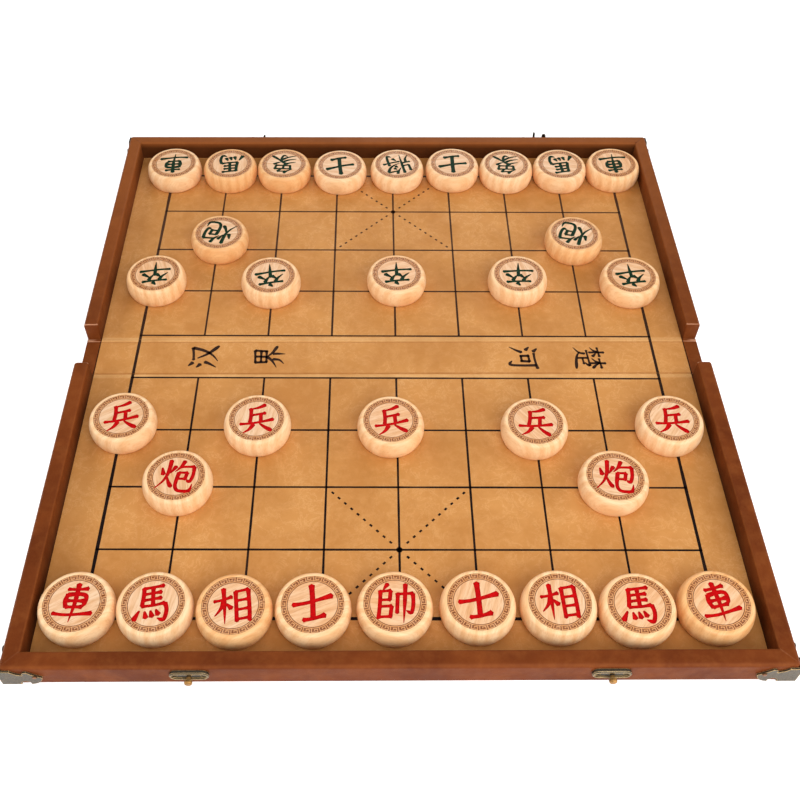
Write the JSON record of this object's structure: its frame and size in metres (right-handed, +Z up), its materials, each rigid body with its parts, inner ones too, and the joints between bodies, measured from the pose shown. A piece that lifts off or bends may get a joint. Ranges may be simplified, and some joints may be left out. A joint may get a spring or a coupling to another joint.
{
  "type": "xiangqi box",
  "caption": "Folding leather-covered xiangqi box that opens flat into its own board, with turned wooden pieces set out and swinging hook latches on its front.",
  "frame": {"origin": "on the underside, below the middle of the river", "axes": "+X to the red player's right, +Y from the red side to the green side, +Z up"},
  "size_m": [0.4962, 0.5508, 0.0215],
  "materials": {
    "board": "plain board, hidden under the leather",
    "brown_leather": "satin, fine grain",
    "tan_leather": "satin, printed board",
    "bronze": "antique bronze",
    "piece_wood": "turned, waxed"
  },
  "bodies": {
    "near_tray": {"near_base_cover": "brown_leather", "near_base_board": "board", "near_front_wall": "board", "near_side_walls": "board", "near_wall_cover": "brown_leather", "near_play_sheet": "tan_leather", "near_corner_brackets": "bronze", "near_bracket_nails": "bronze", "catch_plates": "bronze", "catch_screws": "bronze"},
    "spine": {"spine_board": "board", "spine_cover": "brown_leather", "spine_play_sheet": "tan_leather", "near_hinge_strip": "brown_leather", "far_hinge_strip": "brown_leather"},
    "far_tray": {"far_base_cover": "brown_leather", "far_base_board": "board", "far_back_wall": "board", "far_side_walls": "board", "far_wall_cover": "brown_leather", "far_play_sheet": "tan_leather", "far_corner_brackets": "bronze", "far_bracket_nails": "bronze", "hook_plates": "bronze", "hook_screws": "bronze", "hook_pivots": "bronze"},
    "left_hook_arm": {"left_hook_arm": "bronze"},
    "right_hook_arm": {"right_hook_arm": "bronze"},
    "red_chariot_left": {"red_chariot_left": "piece_wood"},
    "red_horse_left": {"red_horse_left": "piece_wood"},
    "red_elephant_left": {"red_elephant_left": "piece_wood"},
    "red_advisor_left": {"red_advisor_left": "piece_wood"},
    "red_general": {"red_general": "piece_wood"},
    "red_advisor_right": {"red_advisor_right": "piece_wood"},
    "red_elephant_right": {"red_elephant_right": "piece_wood"},
    "red_horse_right": {"red_horse_right": "piece_wood"},
    "red_chariot_right": {"red_chariot_right": "piece_wood"},
    "red_cannon_left": {"red_cannon_left": "piece_wood"},
    "red_cannon_right": {"red_cannon_right": "piece_wood"},
    "red_soldier_1": {"red_soldier_1": "piece_wood"},
    "red_soldier_2": {"red_soldier_2": "piece_wood"},
    "red_soldier_3": {"red_soldier_3": "piece_wood"},
    "red_soldier_4": {"red_soldier_4": "piece_wood"},
    "red_soldier_5": {"red_soldier_5": "piece_wood"},
    "green_chariot_left": {"green_chariot_left": "piece_wood"},
    "green_horse_left": {"green_horse_left": "piece_wood"},
    "green_elephant_left": {"green_elephant_left": "piece_wood"},
    "green_advisor_left": {"green_advisor_left": "piece_wood"},
    "green_general": {"green_general": "piece_wood"},
    "green_advisor_right": {"green_advisor_right": "piece_wood"},
    "green_elephant_right": {"green_elephant_right": "piece_wood"},
    "green_horse_right": {"green_horse_right": "piece_wood"},
    "green_chariot_right": {"green_chariot_right": "piece_wood"},
    "green_cannon_left": {"green_cannon_left": "piece_wood"},
    "green_cannon_right": {"green_cannon_right": "piece_wood"},
    "green_soldier_1": {"green_soldier_1": "piece_wood"},
    "green_soldier_2": {"green_soldier_2": "piece_wood"},
    "green_soldier_3": {"green_soldier_3": "piece_wood"},
    "green_soldier_4": {"green_soldier_4": "piece_wood"},
    "green_soldier_5": {"green_soldier_5": "piece_wood"}
  },
  "joints": [
    {"name": "spine_fold", "type": "hinge", "parent": "near_tray", "child": "spine", "pos_m": [0, -0.01825, 0.0021], "axis": [-1, 0, 0], "range_deg": [-90, 0], "deforming": ["near_hinge_strip"]},
    {"name": "far_fold", "type": "hinge", "parent": "spine", "child": "far_tray", "pos_m": [0, 0.01825, 0.0021], "axis": [-1, 0, 0], "range_deg": [-90, 0], "deforming": ["far_hinge_strip"]},
    {"name": "left_hook_swing", "type": "hinge", "parent": "far_tray", "child": "left_hook_arm", "pos_m": [-0.13, 0.26875, 0.0126], "axis": [0, 1, 0], "range_deg": [-104, 8]},
    {"name": "right_hook_swing", "type": "hinge", "parent": "far_tray", "child": "right_hook_arm", "pos_m": [0.13, 0.26875, 0.0126], "axis": [0, 1, 0], "range_deg": [-87, 25]},
    {"name": "red_chariot_left_lift", "type": "slide", "parent": "near_tray", "child": "red_chariot_left", "axis": [0, 0, 1], "range_m": [0, 0.03]},
    {"name": "red_horse_left_lift", "type": "slide", "parent": "near_tray", "child": "red_horse_left", "axis": [0, 0, 1], "range_m": [0, 0.03]},
    {"name": "red_elephant_left_lift", "type": "slide", "parent": "near_tray", "child": "red_elephant_left", "axis": [0, 0, 1], "range_m": [0, 0.03]},
    {"name": "red_advisor_left_lift", "type": "slide", "parent": "near_tray", "child": "red_advisor_left", "axis": [0, 0, 1], "range_m": [0, 0.03]},
    {"name": "red_general_lift", "type": "slide", "parent": "near_tray", "child": "red_general", "axis": [0, 0, 1], "range_m": [0, 0.03]},
    {"name": "red_advisor_right_lift", "type": "slide", "parent": "near_tray", "child": "red_advisor_right", "axis": [0, 0, 1], "range_m": [0, 0.03]},
    {"name": "red_elephant_right_lift", "type": "slide", "parent": "near_tray", "child": "red_elephant_right", "axis": [0, 0, 1], "range_m": [0, 0.03]},
    {"name": "red_horse_right_lift", "type": "slide", "parent": "near_tray", "child": "red_horse_right", "axis": [0, 0, 1], "range_m": [0, 0.03]},
    {"name": "red_chariot_right_lift", "type": "slide", "parent": "near_tray", "child": "red_chariot_right", "axis": [0, 0, 1], "range_m": [0, 0.03]},
    {"name": "red_cannon_left_lift", "type": "slide", "parent": "near_tray", "child": "red_cannon_left", "axis": [0, 0, 1], "range_m": [0, 0.03]},
    {"name": "red_cannon_right_lift", "type": "slide", "parent": "near_tray", "child": "red_cannon_right", "axis": [0, 0, 1], "range_m": [0, 0.03]},
    {"name": "red_soldier_1_lift", "type": "slide", "parent": "near_tray", "child": "red_soldier_1", "axis": [0, 0, 1], "range_m": [0, 0.03]},
    {"name": "red_soldier_2_lift", "type": "slide", "parent": "near_tray", "child": "red_soldier_2", "axis": [0, 0, 1], "range_m": [0, 0.03]},
    {"name": "red_soldier_3_lift", "type": "slide", "parent": "near_tray", "child": "red_soldier_3", "axis": [0, 0, 1], "range_m": [0, 0.03]},
    {"name": "red_soldier_4_lift", "type": "slide", "parent": "near_tray", "child": "red_soldier_4", "axis": [0, 0, 1], "range_m": [0, 0.03]},
    {"name": "red_soldier_5_lift", "type": "slide", "parent": "near_tray", "child": "red_soldier_5", "axis": [0, 0, 1], "range_m": [0, 0.03]},
    {"name": "green_chariot_left_lift", "type": "slide", "parent": "far_tray", "child": "green_chariot_left", "axis": [0, 0, 1], "range_m": [0, 0.03]},
    {"name": "green_horse_left_lift", "type": "slide", "parent": "far_tray", "child": "green_horse_left", "axis": [0, 0, 1], "range_m": [0, 0.03]},
    {"name": "green_elephant_left_lift", "type": "slide", "parent": "far_tray", "child": "green_elephant_left", "axis": [0, 0, 1], "range_m": [0, 0.03]},
    {"name": "green_advisor_left_lift", "type": "slide", "parent": "far_tray", "child": "green_advisor_left", "axis": [0, 0, 1], "range_m": [0, 0.03]},
    {"name": "green_general_lift", "type": "slide", "parent": "far_tray", "child": "green_general", "axis": [0, 0, 1], "range_m": [0, 0.03]},
    {"name": "green_advisor_right_lift", "type": "slide", "parent": "far_tray", "child": "green_advisor_right", "axis": [0, 0, 1], "range_m": [0, 0.03]},
    {"name": "green_elephant_right_lift", "type": "slide", "parent": "far_tray", "child": "green_elephant_right", "axis": [0, 0, 1], "range_m": [0, 0.03]},
    {"name": "green_horse_right_lift", "type": "slide", "parent": "far_tray", "child": "green_horse_right", "axis": [0, 0, 1], "range_m": [0, 0.03]},
    {"name": "green_chariot_right_lift", "type": "slide", "parent": "far_tray", "child": "green_chariot_right", "axis": [0, 0, 1], "range_m": [0, 0.03]},
    {"name": "green_cannon_left_lift", "type": "slide", "parent": "far_tray", "child": "green_cannon_left", "axis": [0, 0, 1], "range_m": [0, 0.03]},
    {"name": "green_cannon_right_lift", "type": "slide", "parent": "far_tray", "child": "green_cannon_right", "axis": [0, 0, 1], "range_m": [0, 0.03]},
    {"name": "green_soldier_1_lift", "type": "slide", "parent": "far_tray", "child": "green_soldier_1", "axis": [0, 0, 1], "range_m": [0, 0.03]},
    {"name": "green_soldier_2_lift", "type": "slide", "parent": "far_tray", "child": "green_soldier_2", "axis": [0, 0, 1], "range_m": [0, 0.03]},
    {"name": "green_soldier_3_lift", "type": "slide", "parent": "far_tray", "child": "green_soldier_3", "axis": [0, 0, 1], "range_m": [0, 0.03]},
    {"name": "green_soldier_4_lift", "type": "slide", "parent": "far_tray", "child": "green_soldier_4", "axis": [0, 0, 1], "range_m": [0, 0.03]},
    {"name": "green_soldier_5_lift", "type": "slide", "parent": "far_tray", "child": "green_soldier_5", "axis": [0, 0, 1], "range_m": [0, 0.03]}
  ]
}
